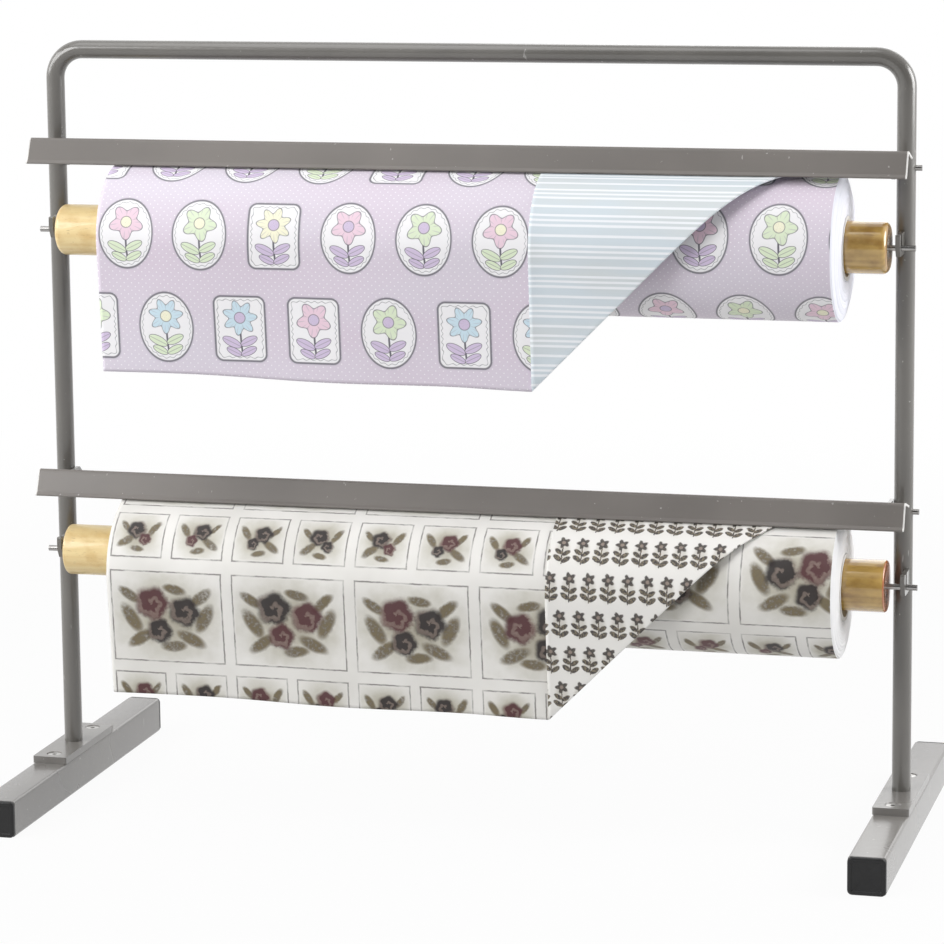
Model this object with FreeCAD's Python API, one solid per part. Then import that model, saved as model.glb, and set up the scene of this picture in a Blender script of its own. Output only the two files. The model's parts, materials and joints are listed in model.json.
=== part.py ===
import FreeCAD, Part
import math
import os

from FreeCAD import Vector

# Counter-top stand for two rolls of gift wrap, one above the other, each with a
# swinging cutter bar. All sizes are in millimetres. +Z is up, +X runs along the rolls,
# the cutters face -Y. The origin is on the table, midway between the two feet.

# Rolls of paper on card cores
roll_width = 500.0
roll_offset = 10.5
core_wall = 2.6
core_overhang = 0.4
core_fit = 0.02
core_hang_play = 0.3

# Frame, bent from one round bar into two posts and a top run
side_room = 46.0
rod_diameter = 12.7
top_axis_height = 522.0
corner_radius = 20.0
cross_hole_play = 0.05

# Square tube feet with their plastic caps
foot_side = 25.0
foot_wall = 1.5
foot_length = 298.0
foot_corner = 2.0
cap_flange = 3.0
cap_corner = 2.4
cap_plug_depth = 13.0
cap_plug_wall = 1.6
cap_plug_play = 0.15
cap_rib_width = 1.2
cap_rib_pitch = 4.0
cap_rib_count = 2
cap_rib_sink = 0.5

# Base plates welded under the posts, screwed down onto the feet
plate_length = 96.0
plate_width = 24.6
plate_thickness = 5.0
plate_corner = 1.0
screw_pitch = 76.0
screw_diameter = 5.0
screw_head_diameter = 9.2
screw_head_sink = 0.6
screw_head_angle = 90.0
screw_length = 16.0
screw_play = 0.25
socket_across_flats = 3.0
socket_depth = 2.0
nut_across_flats = 7.0
nut_length = 9.0
nut_rim_across_flats = 9.5
nut_rim_thickness = 0.8
nut_play = 0.02

# Rollers: a wooden dowel with a steel axle pin in each end
roller_setback = 20.0
dowel_diameter = 35.0
dowel_end_room = 8.5
dowel_offset = 1.0
axle_diameter = 4.0
axle_embed = 32.0
axle_fit = 0.02

# Hook plates that carry the axle pins on the front of each post
hook_thickness = 3.0
hook_front = 7.0
hook_above = 9.2
hook_below = 5.4
hook_taper_width = 3.2
hook_taper_height = 6.5
hook_slot_width = 4.5
hook_seat_play = 0.05
hook_lead_in = 0.9
hook_corner = 1.0

# The free end of each roll, with one corner folded up over its face
sheet_thickness = 0.5
sheet_gap = 0.3
flap_gap = 0.3
fold_rim = 1.2
fold_steps = 6

# Cutter bars, folded from sheet steel, and the arms they swing on
bar_overhang = 6.5
bar_sheet = 1.5
bar_bend = 1.8
bar_reach = 43.4
bar_lip = 2.3
bar_lip_rise = 36.0
bar_face = 16.1
bar_face_lean = 28.0
bar_flange = 17.5
bar_flange_drop = 22.0
bar_seat_gap = 0.3
arm_thickness = 2.5
arm_gap = 0.5
arm_boss = 7.5
arm_face_start = 0.35
arm_face_end = 0.85
arm_flange_start = 0.15
pivot_diameter = 4.0
pivot_play = 0.05
pivot_head_diameter = 8.0
pivot_head_height = 2.3
pivot_head_gap = 0.1
pivot_stub = 4.0
pivot_slot_width = 1.1
pivot_slot_depth = 1.0

# The upper roll and its cutter. The loose end lifts off the roll at an angle counted
# forward from its top, runs straight, then follows the roll's curve until it hangs.
upper_pivot_below_top = 72.5
upper_dowel_drop = 50.5
upper_core_bore = 37.6
upper_roll_diameter = 97.0
upper_lift_angle = 0.0
upper_lift_reach = 10.0
upper_hang_angle = 95.5
upper_hang_length = 89.0
upper_corner_leg = 200.5
upper_left_stub = 15.5
upper_right_stub = 17.0
upper_left_hook_shift = 4.0
upper_right_hook_shift = -1.5
upper_end_bevel = 4.0

# The lower roll and its cutter
lower_pivot_below_top = 301.5
lower_dowel_drop = 47.0
lower_core_bore = 39.6
lower_roll_diameter = 95.0
lower_lift_angle = 30.0
lower_lift_reach = 9.0
lower_hang_angle = 96.5
lower_hang_length = 80.0
lower_corner_leg = 191.5
lower_left_stub = 16.0
lower_right_stub = 20.0
lower_left_hook_shift = 3.5
lower_right_hook_shift = 3.5
lower_end_bevel = 1.5

post_spacing = roll_width + 2 * side_room
post_x = post_spacing / 2
rod_radius = rod_diameter / 2
dowel_length = post_spacing - 2 * dowel_end_room
bar_length = post_spacing + 2 * bar_overhang
roll_left = roll_offset - roll_width / 2
roll_right = roll_offset + roll_width / 2
sides = [("left", -1), ("right", 1)]
along_x = Vector(1, 0, 0)
along_y = Vector(0, 1, 0)
along_z = Vector(0, 0, 1)


class Station:
    """One roll with its cutter bar: where it sits on the posts and how its paper lies."""

    def __init__(self, name, pivot_below_top, dowel_drop, core_bore, roll_diameter, lift_angle,
                 lift_reach, hang_angle, hang_length, corner_leg, stubs, hook_shifts, end_bevel):
        self.name = name
        self.pivot_height = top_axis_height - pivot_below_top
        self.dowel_height = self.pivot_height - dowel_drop
        self.core_bore = core_bore
        self.roll_radius = roll_diameter / 2
        self.lift_angle = lift_angle
        self.lift_reach = lift_reach
        self.hang_angle = hang_angle
        self.hang_length = hang_length
        # How far along the lower edge the corner is folded up, counted from the roll's right end
        self.fold_from = roll_right - corner_leg
        self.stubs = stubs
        self.hook_shifts = hook_shifts
        self.end_bevel = end_bevel
        hang = core_bore / 2 - dowel_diameter / 2 - core_hang_play
        self.roll_centre = (-roller_setback, self.dowel_height - hang)


stations = [
    Station("upper", upper_pivot_below_top, upper_dowel_drop, upper_core_bore, upper_roll_diameter,
            upper_lift_angle, upper_lift_reach, upper_hang_angle, upper_hang_length, upper_corner_leg,
            (upper_left_stub, upper_right_stub), (upper_left_hook_shift, upper_right_hook_shift),
            upper_end_bevel),
    Station("lower", lower_pivot_below_top, lower_dowel_drop, lower_core_bore, lower_roll_diameter,
            lower_lift_angle, lower_lift_reach, lower_hang_angle, lower_hang_length, lower_corner_leg,
            (lower_left_stub, lower_right_stub), (lower_left_hook_shift, lower_right_hook_shift),
            lower_end_bevel),
]


def save(name, shape):
    shape.exportStep("parts/" + name + ".step")


def round_bar(radius, length, start, direction):
    return Part.makeCylinder(radius, length, start, direction)


def prism(points, thickness_vector):
    """A closed polygon pushed along a vector."""
    face = Part.Face(Part.makePolygon(points + [points[0]]))
    return face.extrude(thickness_vector)


def yz(x, pairs):
    return [Vector(x, y, z) for y, z in pairs]


def hexagon(across_flats, height, place, low_z):
    """An upright hexagonal prism over a place on the table."""
    corner = across_flats / math.sqrt(3)
    points = [place + Vector(corner * math.cos(math.radians(60 * i)),
                             corner * math.sin(math.radians(60 * i)), low_z) for i in range(6)]
    return prism(points, Vector(0, 0, height))


def rounded_block(width, length, height, corner, centre_x, centre_y, low_z):
    """A block with its four upright edges rounded."""
    block = Part.makeBox(width, length, height,
                         Vector(centre_x - width / 2, centre_y - length / 2, low_z))
    upright = [e for e in block.Edges if abs(e.tangentAt(e.FirstParameter).z) > 0.99]
    return block.makeFillet(corner, upright)


# Frame

def bend(side):
    """A quarter ring that joins a post to the top run."""
    centre = Vector(side * (post_x - corner_radius), 0, top_axis_height - corner_radius)
    start = centre + Vector(side * corner_radius, 0, 0)
    disc = Part.Face(Part.Wire(Part.makeCircle(rod_radius, start, along_z)))
    return disc.revolve(centre, along_y, -90 * side)


def cross_hole(station):
    radius = pivot_diameter / 2 + cross_hole_play
    length = post_spacing + 2 * rod_diameter
    return round_bar(radius, length, Vector(-length / 2, 0, station.pivot_height), along_x)


def frame_bar():
    base = foot_side + plate_thickness
    post_length = top_axis_height - corner_radius - base
    half_run = post_x - corner_radius
    run = round_bar(rod_radius, 2 * half_run, Vector(-half_run, 0, top_axis_height), along_x)
    posts = [round_bar(rod_radius, post_length, Vector(side * post_x, 0, base), along_z)
             for _, side in sides]
    rod = run.fuse(posts + [bend(side) for _, side in sides]).removeSplitter()
    return rod.cut([cross_hole(s) for s in stations])


def screw_places(side):
    return [Vector(side * post_x, end * screw_pitch / 2, 0) for end in (-1, 1)]


def head_slope():
    return math.tan(math.radians(screw_head_angle / 2))


def head_height():
    return (screw_head_diameter - screw_diameter) / 2 / head_slope()


def screw_well(place):
    """Clearance hole and countersink in a base plate, deep enough to sink the head."""
    depth = head_height() + screw_head_sink
    narrow = screw_diameter / 2 + screw_play
    hole = round_bar(narrow, plate_thickness, place + Vector(0, 0, foot_side), along_z)
    countersink = Part.makeCone(narrow, narrow + depth * head_slope(), depth,
                                place + Vector(0, 0, foot_side + plate_thickness - depth))
    return hole.fuse(countersink)


def base_plate(side):
    plate = rounded_block(plate_width, plate_length, plate_thickness, plate_corner,
                          side * post_x, 0, foot_side)
    return plate.cut([screw_well(p) for p in screw_places(side)])


def foot_tube(side):
    length = foot_length - 2 * cap_flange
    outer = Part.makeBox(foot_side, length, foot_side,
                         Vector(side * post_x - foot_side / 2, -length / 2, 0))
    outer = outer.makeFillet(foot_corner, lengthwise_edges(outer))
    hollow = foot_side - 2 * foot_wall
    inner = Part.makeBox(hollow, length, hollow,
                         Vector(side * post_x - hollow / 2, -length / 2, foot_wall))
    holes = [hexagon(nut_across_flats + 2 * nut_play, 2 * foot_wall, p, foot_side - 2 * foot_wall)
             for p in screw_places(side)]
    return outer.cut([inner] + holes)


def lengthwise_edges(box):
    return [e for e in box.Edges if abs(e.tangentAt(e.FirstParameter).y) > 0.99]


def end_cap(side, end):
    """Push-in cap: a rounded square flange and a hollow plug with two gripping ribs."""
    join = end * (foot_length / 2 - cap_flange)
    flange = Part.makeBox(foot_side, cap_flange, foot_side,
                          Vector(-foot_side / 2, 0, 0))
    flange = flange.makeFillet(cap_corner, lengthwise_edges(flange))
    mid = foot_side / 2
    bore = foot_side - 2 * foot_wall - 2 * cap_plug_play
    slim = bore - 2 * cap_rib_sink
    parts = [centred_block(slim, cap_plug_depth, mid, -cap_plug_depth)]
    for i in range(cap_rib_count):
        parts.append(centred_block(bore, cap_rib_width, mid, -cap_rib_pitch * (i + 1)))
    cap = flange.fuse(parts)
    cap = cap.cut(centred_block(slim - 2 * cap_plug_wall, cap_plug_depth, mid, -cap_plug_depth))
    if end < 0:
        cap.rotate(Vector(0, 0, mid), along_z, 180)
    cap.translate(Vector(side * post_x, join, 0))
    return cap


def centred_block(width, depth, mid_z, low_y):
    return Part.makeBox(width, depth, width, Vector(-width / 2, low_y, mid_z - width / 2))


def foot_screw(place):
    """Countersunk socket screw, its head a little below the face of the plate."""
    top = foot_side + plate_thickness - screw_head_sink
    shank = round_bar(screw_diameter / 2, screw_length, place + Vector(0, 0, top - screw_length),
                      along_z)
    head = Part.makeCone(screw_diameter / 2, screw_head_diameter / 2, head_height(),
                         place + Vector(0, 0, top - head_height()))
    return shank.fuse(head).cut(hexagon(socket_across_flats, socket_depth, place, top - socket_depth))


def rivet_nut(place):
    """Hexagonal threaded insert under the screw, its rim squeezed out below the foot's top wall."""
    rim_low = foot_side - foot_wall - nut_rim_thickness
    body = hexagon(nut_across_flats, nut_length, place, foot_side - nut_length)
    rim = hexagon(nut_rim_across_flats, nut_rim_thickness, place, rim_low)
    bore = round_bar(screw_diameter / 2 + nut_play, nut_length,
                     place + Vector(0, 0, foot_side - nut_length), along_z)
    return body.fuse(rim).cut(bore)


# Hook plates

def hook_plate(station, side):
    """Flat plate on the front of the post, slotted from the top down to the axle pin."""
    x = side * post_x - hook_thickness / 2 + station.hook_shifts[0 if side < 0 else 1]
    y_pin = -roller_setback
    z_pin = station.dowel_height
    front = y_pin - hook_front
    top = z_pin + hook_above
    low = z_pin - hook_below
    outline = [(0, low), (front + hook_taper_width, low), (front, low + hook_taper_height),
               (front, top), (0, top)]
    plate = prism(yz(x, outline), Vector(hook_thickness, 0, 0))
    front_corners = [e for e in plate.Edges
                     if abs(e.tangentAt(e.FirstParameter).x) > 0.99 and e.CenterOfMass.y < front + 0.1]
    plate = plate.makeFillet(hook_corner, front_corners)
    half = hook_slot_width / 2
    seat_z = z_pin + half - axle_diameter / 2 - hook_seat_play
    seat = round_bar(half, hook_thickness, Vector(x, y_pin, seat_z), along_x)
    wide = half + hook_lead_in
    slot = prism(yz(x, [(y_pin - half, seat_z), (y_pin + half, seat_z),
                        (y_pin + half, top - hook_lead_in), (y_pin + wide, top),
                        (y_pin - wide, top), (y_pin - half, top - hook_lead_in)]),
                 Vector(hook_thickness, 0, 0))
    post = round_bar(rod_radius, top - low + 2, Vector(side * post_x, 0, low - 1), along_z)
    return plate.cut([seat, slot, post])


# Rollers

def circles(shape):
    return [e for e in shape.Edges if e.Curve.TypeId == "Part::GeomCircle"]


def dowel(station):
    radius = dowel_diameter / 2
    y, z = -roller_setback, station.dowel_height
    start = Vector(dowel_offset - dowel_length / 2, y, z)
    wood = round_bar(radius, dowel_length, start, along_x)
    wood = wood.makeChamfer(station.end_bevel, circles(wood))
    bores = [round_bar(axle_diameter / 2 + axle_fit, axle_embed,
                       Vector(dowel_end(side) - (axle_embed if side > 0 else 0), y, z), along_x)
             for _, side in sides]
    return wood.cut(bores)


def dowel_end(side):
    return dowel_offset + side * dowel_length / 2


def axle_pin(station, side):
    stub = station.stubs[0 if side < 0 else 1]
    length = axle_embed + stub
    inner = dowel_end(side) - side * axle_embed
    return round_bar(axle_diameter / 2, length, Vector(inner, -roller_setback, station.dowel_height),
                     Vector(side, 0, 0))


# Rolls of paper

def roll_ring(station, outer, inner, width):
    y, z = station.roll_centre
    start = Vector(roll_offset - width / 2, y, z)
    ring = round_bar(outer, width, start, along_x)
    return ring.cut(round_bar(inner, width, start, along_x))


def paper_core(station):
    bore = station.core_bore / 2
    return roll_ring(station, bore + core_wall, bore, roll_width + 2 * core_overhang)


def wound_paper(station):
    inner = station.core_bore / 2 + core_wall + core_fit
    return roll_ring(station, station.roll_radius, inner, roll_width)


# The loose end of the roll. Its section is a run of arcs and straights in the YZ plane:
# round the roll, a short straight, round again, then hanging. Angles are measured at the
# roll, forward from its top. Lengths along the paper count from where the cutter rests.

def on_circle(centre, radius, angle):
    turn = math.radians(angle)
    return (centre[0] - radius * math.sin(turn), centre[1] + radius * math.cos(turn))


def along_paper(angle):
    turn = math.radians(angle)
    return (-math.cos(turn), -math.sin(turn))


def loose_centre(station):
    step = along_paper(station.lift_angle)
    centre = station.roll_centre
    return (centre[0] + station.lift_reach * step[0], centre[1] + station.lift_reach * step[1])


def paper_stack():
    """Height of the rounded lip's centre above the roll, with two thicknesses of paper between."""
    papers = sheet_gap + sheet_thickness + flap_gap + sheet_thickness
    return papers + bar_seat_gap + bar_sheet / 2


def circles_meet(first, first_radius, second, second_radius):
    """The forward one of the two points where two circles in the YZ plane cross."""
    dy, dz = second[0] - first[0], second[1] - first[1]
    gap = math.hypot(dy, dz)
    along = (first_radius ** 2 - second_radius ** 2 + gap ** 2) / (2 * gap)
    across = math.sqrt(first_radius ** 2 - along ** 2)
    return (first[0] + along * dy / gap + across * dz / gap,
            first[1] + along * dz / gap - across * dy / gap)


def bar_edge(station):
    """Where the cutter's lip lies on the paper, and its angle round the roll."""
    pivot = (0.0, station.pivot_height)
    reach = station.roll_radius + paper_stack()
    for centre in (loose_centre(station), station.roll_centre):
        edge = circles_meet(pivot, bar_reach, centre, reach)
        angle = math.degrees(math.atan2(centre[0] - edge[0], edge[1] - centre[1]))
        if angle >= station.lift_angle:
            break
    return edge, angle


def rest_tilt(station):
    edge, _ = bar_edge(station)
    return math.degrees(math.atan2(station.pivot_height - edge[1], -edge[0]))


def paper_run(station, offset):
    """The section's runs for a lap at one height above the roll, from the bar to the hem."""
    radius = station.roll_radius + offset
    lift = on_circle(station.roll_centre, radius, station.lift_angle)
    land = on_circle(loose_centre(station), radius, station.lift_angle)
    turn = on_circle(loose_centre(station), radius, station.hang_angle)
    fall = along_paper(station.hang_angle)
    hem = (turn[0] + station.hang_length * fall[0], turn[1] + station.hang_length * fall[1])
    return radius, lift, land, turn, hem


def paper_length(station):
    """Length of the loose end from the cutter's edge down to the hem, at mid-thickness."""
    radius = station.roll_radius + sheet_gap + sheet_thickness / 2
    _, angle = bar_edge(station)
    arc = math.radians(station.hang_angle - angle) * radius
    straight = station.lift_reach if angle < station.lift_angle else 0.0
    return arc + straight + station.hang_length


def tuck_length(station):
    """How far the folded corner reaches back over the roll behind the cutter's edge."""
    return roll_right - station.fold_from - paper_length(station)


def tuck_angle(station):
    """Angle behind the roll's top where the folded corner ends."""
    radius = station.roll_radius + sheet_gap + sheet_thickness / 2
    _, angle = bar_edge(station)
    back = tuck_length(station)
    if angle >= station.lift_angle:
        back -= station.lift_reach
    return angle - math.degrees(back / radius)


def lap_face(station, low, high, start_angle, x):
    """Closed section of a lap between two heights above the roll."""
    sides_of_lap = []
    for offset in (low, high):
        radius, lift, land, turn, hem = paper_run(station, offset)
        first = on_circle(station.roll_centre, radius, start_angle)
        mid_wrap = on_circle(station.roll_centre, radius, (start_angle + station.lift_angle) / 2)
        mid_turn = on_circle(loose_centre(station), radius, (station.lift_angle + station.hang_angle) / 2)
        points = yz(x, [first, mid_wrap, lift, land, mid_turn, turn, hem])
        edges = [Part.Arc(points[0], points[1], points[2]).toShape(),
                 Part.LineSegment(points[2], points[3]).toShape(),
                 Part.Arc(points[3], points[4], points[5]).toShape(),
                 Part.LineSegment(points[5], points[6]).toShape()]
        sides_of_lap.append((points[0], points[6], edges))
    (start_in, end_in, inner), (start_out, end_out, outer) = sides_of_lap
    joints = [Part.LineSegment(end_in, end_out).toShape(), Part.LineSegment(start_in, start_out).toShape()]
    return Part.Face(Part.Wire(Part.__sortEdges__(inner + outer + joints)))


def lap(station, low, high, start_angle, x_from, x_to):
    return lap_face(station, low, high, start_angle, x_from).extrude(Vector(x_to - x_from, 0, 0))


def place_on_paper(station, distance):
    """The point (y, z) at a distance along the paper, counted down from the cutter's edge."""
    radius, _, land, turn, _ = paper_run(station, sheet_gap + sheet_thickness / 2)
    _, angle = bar_edge(station)
    centre = loose_centre(station)
    if angle < station.lift_angle:
        wrap = math.radians(station.lift_angle - angle) * radius
        if distance < wrap:
            return on_circle(station.roll_centre, radius, angle + math.degrees(distance / radius))
        distance -= wrap
        step = along_paper(station.lift_angle)
        if distance < station.lift_reach:
            back = station.lift_reach - distance
            return (land[0] - back * step[0], land[1] - back * step[1])
        distance -= station.lift_reach
        angle = station.lift_angle
    if distance < 0:
        tight = math.radians(angle - station.lift_angle) * radius
        if -distance <= tight:
            return on_circle(centre, radius, angle + math.degrees(distance / radius))
        straight = -distance - tight
        if straight < station.lift_reach:
            step = along_paper(station.lift_angle)
            return (land[0] - straight * step[0], land[1] - straight * step[1])
        past = straight - station.lift_reach
        return on_circle(station.roll_centre, radius, station.lift_angle - math.degrees(past / radius))
    arc = math.radians(station.hang_angle - angle) * radius
    if distance < arc:
        return on_circle(centre, radius, angle + math.degrees(distance / radius))
    fall = along_paper(station.hang_angle)
    return (turn[0] + (distance - arc) * fall[0], turn[1] + (distance - arc) * fall[1])


def beyond_fold(station, shift):
    """Everything past the fold line, which crosses the paper at 45 degrees.

    Ahead of the cutter's edge it is seen from the front, behind it from above."""
    drop = paper_length(station)
    tuck = tuck_length(station)
    far_x = roll_right + roll_width
    front = -4 * station.roll_radius
    (edge_y, edge_z), _ = bar_edge(station)
    split_z = place_on_paper(station, 0.0)[1]
    down = [drop * i / fold_steps for i in range(fold_steps + 1)]
    line = [Vector(station.fold_from + drop - d + shift, front, place_on_paper(station, d)[1]) for d in down]
    hem_x = line[-1].x
    beyond = [Vector(hem_x - drop, front, line[-1].z - drop), Vector(far_x, front, line[-1].z - drop),
              Vector(far_x, front, split_z)]
    ahead = prism(line + beyond, Vector(0, -front - roller_setback, 0))
    back = [tuck * i / fold_steps for i in range(fold_steps + 1)]
    low_z = station.dowel_height
    line = [Vector(station.fold_from + drop + b + shift, place_on_paper(station, -b)[0], low_z) for b in back]
    past = [Vector(roll_right + tuck + shift, line[-1].y + tuck, low_z),
            Vector(far_x, line[-1].y + tuck, low_z), Vector(far_x, line[0].y, low_z)]
    behind = prism(line + past, Vector(0, 0, 4 * station.roll_radius))
    return ahead.fuse(behind)


def paper_sheet(station):
    """The loose end: the sheet, its folded corner lying on it, and the rim of the fold."""
    start = tuck_angle(station)
    low = sheet_gap
    top = low + sheet_thickness
    flap_low = top + flap_gap
    flap_top = flap_low + sheet_thickness
    corner = beyond_fold(station, 0.0)
    sheet = lap(station, low, top, start, roll_left, roll_right).cut(corner)
    flap = lap(station, flap_low, flap_top, start, station.fold_from, roll_right).cut(corner)
    rim = lap(station, low, flap_top, start, station.fold_from, roll_right).cut(corner)
    rim = rim.common(beyond_fold(station, -fold_rim))
    return sheet.fuse([flap, rim]).removeSplitter()


# Cutter bars. They are drawn with the pivot at the origin and the lip level in front of
# it, then turned down until the lip lies on the paper.

def bar_points():
    lip = (-bar_reach, 0.0)
    rise = math.radians(bar_lip_rise)
    knee = (lip[0] + bar_lip * math.cos(rise), lip[1] + bar_lip * math.sin(rise))
    lean = math.radians(bar_face_lean)
    ridge = (knee[0] + bar_face * math.sin(lean), knee[1] + bar_face * math.cos(lean))
    drop = math.radians(bar_flange_drop)
    rear = (ridge[0] + bar_flange * math.cos(drop), ridge[1] - bar_flange * math.sin(drop))
    return lip, knee, ridge, rear


def bar_section():
    """Sheet of constant thickness, bent at the knee and at the ridge, its lip rounded."""
    lip, knee, ridge, rear = yz(0.0, bar_points())
    strips = [strip(knee, ridge), strip(ridge, rear)]
    rounds = [round_bar(bar_sheet / 2, 1.0, corner, along_x) for corner in (lip, knee, ridge)]
    return strip(lip, knee).fuse(strips + rounds).removeSplitter()


def strip(start, end):
    """A slab one unit wide in X, as thick as the bar, centred on a line."""
    run = end - start
    side_step = Vector(0, -run.z, run.y).normalize() * (bar_sheet / 2)
    return prism([start + side_step, end + side_step, end - side_step, start - side_step],
                 Vector(1, 0, 0))


def widen(slab, x_from, width):
    """Stretch a slab that is one unit wide to its full width along X."""
    face = [f for f in slab.Faces if abs(f.CenterOfMass.x - slab.BoundBox.XMin) < 0.001][0]
    solid = face.extrude(Vector(width, 0, 0))
    solid.translate(Vector(x_from - slab.BoundBox.XMin, 0, 0))
    return solid


def hang_on_pivot(shape, station):
    """Turn a cutter piece down to rest and lift it to its pivot."""
    shape.rotate(Vector(0, 0, 0), along_x, rest_tilt(station))
    shape.translate(Vector(0, 0, station.pivot_height))
    return shape


def bar_blank():
    return widen(bar_section(), -bar_length / 2, bar_length)


def cutter_bar(station):
    bar = bar_blank()
    _, _, ridge, _ = bar_points()
    ridge_edges = [e for e in bar.Edges if abs(e.tangentAt(e.FirstParameter).x) > 0.99
                   and math.hypot(e.CenterOfMass.y - ridge[0], e.CenterOfMass.z - ridge[1]) < bar_sheet]
    inner = [e for e in ridge_edges if e.CenterOfMass.z < ridge[1]]
    bar = bar.makeFillet(bar_bend - bar_sheet / 2, inner)
    return hang_on_pivot(bar, station)


def arm_x(side):
    """Lower X of an arm, which runs beside the inner face of its post."""
    outer = post_x - rod_radius - arm_gap
    return outer - arm_thickness if side > 0 else -outer


def cutter_arm(station, side):
    """Flat arm welded inside the bar's angle, its clipped end bored for the pivot screw."""
    _, knee, ridge, rear = bar_points()

    def between(a, b, share):
        return (a[0] + (b[0] - a[0]) * share, a[1] + (b[1] - a[1]) * share)

    x = arm_x(side)
    clip = arm_boss * math.tan(math.pi / 8)
    outline = [(-clip, -arm_boss), between(knee, ridge, arm_face_start), between(knee, ridge, arm_face_end),
               between(ridge, rear, arm_flange_start), rear, (clip, arm_boss), (arm_boss, clip),
               (arm_boss, -clip), (clip, -arm_boss)]
    plate = prism(yz(x, outline), Vector(arm_thickness, 0, 0))
    bore = round_bar(pivot_diameter / 2 + pivot_play, arm_thickness, Vector(x, 0, 0), along_x)
    arm = plate.cut([bar_blank(), bore])
    arm = max(arm.Solids, key=lambda s: s.Volume)
    return hang_on_pivot(arm, station)


def pivot_screw(station, side):
    """Slotted screw from inside, through the arm and the post, its end left standing out."""
    z = station.pivot_height
    seat = post_x - rod_radius - arm_gap - arm_thickness - pivot_head_gap
    top = seat - pivot_head_height
    tip = post_x + rod_radius + pivot_stub
    outward = Vector(side, 0, 0)
    shank = round_bar(pivot_diameter / 2, tip - seat, Vector(side * seat, 0, z), outward)
    head = round_bar(pivot_head_diameter / 2, pivot_head_height, Vector(side * top, 0, z), outward)
    slot = Part.makeBox(pivot_slot_depth, 2 * pivot_head_diameter, pivot_slot_width,
                        Vector(min(side * top, side * (top + pivot_slot_depth)), -pivot_head_diameter,
                               z - pivot_slot_width / 2))
    return shank.fuse(head.cut(slot))


# Build

def build_frame():
    save("frame_bar", frame_bar())
    for label, side in sides:
        save(label + "_base_plate", base_plate(side))
        save(label + "_foot_tube", foot_tube(side))
        save(label + "_front_end_cap", end_cap(side, -1))
        save(label + "_rear_end_cap", end_cap(side, 1))
        save(label + "_foot_screws", Part.makeCompound([foot_screw(p) for p in screw_places(side)]))
        save(label + "_rivet_nuts", Part.makeCompound([rivet_nut(p) for p in screw_places(side)]))


def build_station(station):
    save(station.name + "_dowel", dowel(station))
    save(station.name + "_paper_core", paper_core(station))
    save(station.name + "_wound_paper", wound_paper(station))
    save(station.name + "_paper_sheet", paper_sheet(station))
    save(station.name + "_cutter_bar", cutter_bar(station))
    for label, side in sides:
        save(station.name + "_" + label + "_hook_plate", hook_plate(station, side))
        save(station.name + "_" + label + "_axle_pin", axle_pin(station, side))
        save(station.name + "_" + label + "_cutter_arm", cutter_arm(station, side))
        save(station.name + "_" + label + "_pivot_screw", pivot_screw(station, side))


os.makedirs("parts", exist_ok=True)
build_frame()
for one in stations:
    build_station(one)
    edge, angle = bar_edge(one)
    print(one.name, "cutter lip at y %.2f z %.2f, tilt %.2f degrees, free paper %.1f mm, tucked %.1f mm"
          % (edge[0], edge[1], rest_tilt(one), paper_length(one), tuck_length(one)))
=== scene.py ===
import functools
import json
import math

import bpy
import numpy as np
from mathutils import Matrix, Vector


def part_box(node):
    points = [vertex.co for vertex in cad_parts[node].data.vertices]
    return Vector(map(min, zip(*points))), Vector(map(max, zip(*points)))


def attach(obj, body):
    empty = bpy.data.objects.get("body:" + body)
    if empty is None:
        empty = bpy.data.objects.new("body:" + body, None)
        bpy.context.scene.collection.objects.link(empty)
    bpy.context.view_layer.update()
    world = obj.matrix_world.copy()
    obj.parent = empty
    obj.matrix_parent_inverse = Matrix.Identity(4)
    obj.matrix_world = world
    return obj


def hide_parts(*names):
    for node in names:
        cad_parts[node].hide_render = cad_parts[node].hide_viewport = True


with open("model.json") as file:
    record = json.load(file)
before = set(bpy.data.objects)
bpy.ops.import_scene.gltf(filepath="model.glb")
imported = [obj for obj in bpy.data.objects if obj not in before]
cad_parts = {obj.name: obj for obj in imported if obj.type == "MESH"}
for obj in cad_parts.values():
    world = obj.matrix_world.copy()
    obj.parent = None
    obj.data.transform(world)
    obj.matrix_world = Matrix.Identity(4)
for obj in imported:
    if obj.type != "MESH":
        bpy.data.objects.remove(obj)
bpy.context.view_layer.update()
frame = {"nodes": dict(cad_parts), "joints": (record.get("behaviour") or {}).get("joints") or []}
scene = bpy.context.scene
scene.view_settings.view_transform = "Standard"
levels = ("upper", "lower")
sides = ("left", "right")
print("frame loaded:", len(frame["nodes"]), "nodes")


picture = {  # the sensor in millimetres, near and far in metres, the rest in pixels
    "edge": 944.0, "focal": 3780.0, "centreX": 440.0, "centreY": 380.0, "sensor": 36.0,
    "near": 0.05, "far": 50.0,
}
view = {"x": 0.655, "y": -2.455, "z": 0.712, "yaw": 15.42, "pitch": 9.22, "roll": -0.66}  # metres, degrees


def axesMatrix(across, up, back, place):
    # a matrix with three axes and a place as its columns
    matrix = np.eye(4)
    matrix[:3] = np.stack([across, up, back, place], -1)
    return Matrix(matrix.tolist())


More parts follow.
